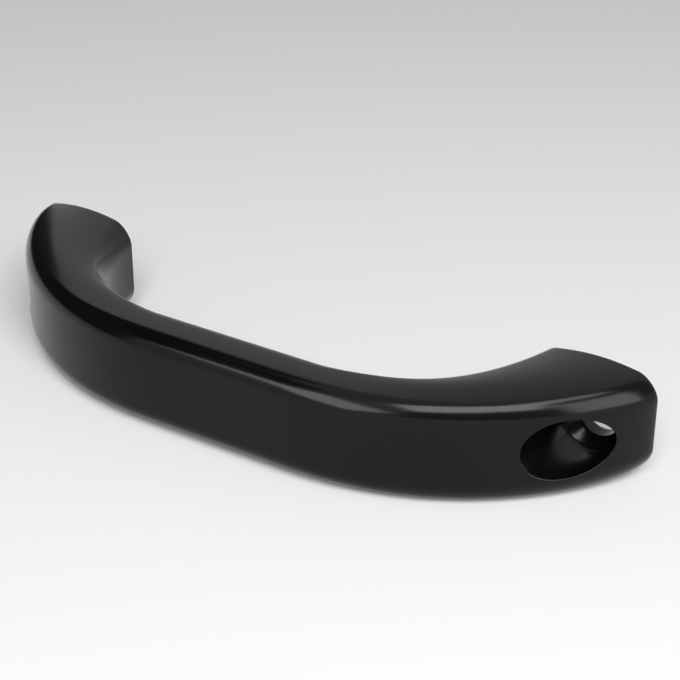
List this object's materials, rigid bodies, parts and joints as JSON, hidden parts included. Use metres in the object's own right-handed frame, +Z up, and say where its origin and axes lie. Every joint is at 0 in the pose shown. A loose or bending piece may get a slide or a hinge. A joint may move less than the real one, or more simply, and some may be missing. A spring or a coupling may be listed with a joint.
{
  "type": "roof grab handle",
  "caption": "One-piece curved black grab handle with a bowed grip, domed feet and deep countersunk screw recesses at its ends.",
  "frame": {"origin": "middle of the line between the two screw holes, on the mounting plane of the feet", "axes": "+X along the handle, +Y out of the feet towards the surface it is screwed to, -Y towards the hand, +Z up across the grip"},
  "size_m": [0.2, 0.0524, 0.0298],
  "materials": {
    "moulded_black": "smooth satin black moulded plastic"
  },
  "bodies": {
    "root": {"handle": "moulded_black"}
  },
  "joints": []
}
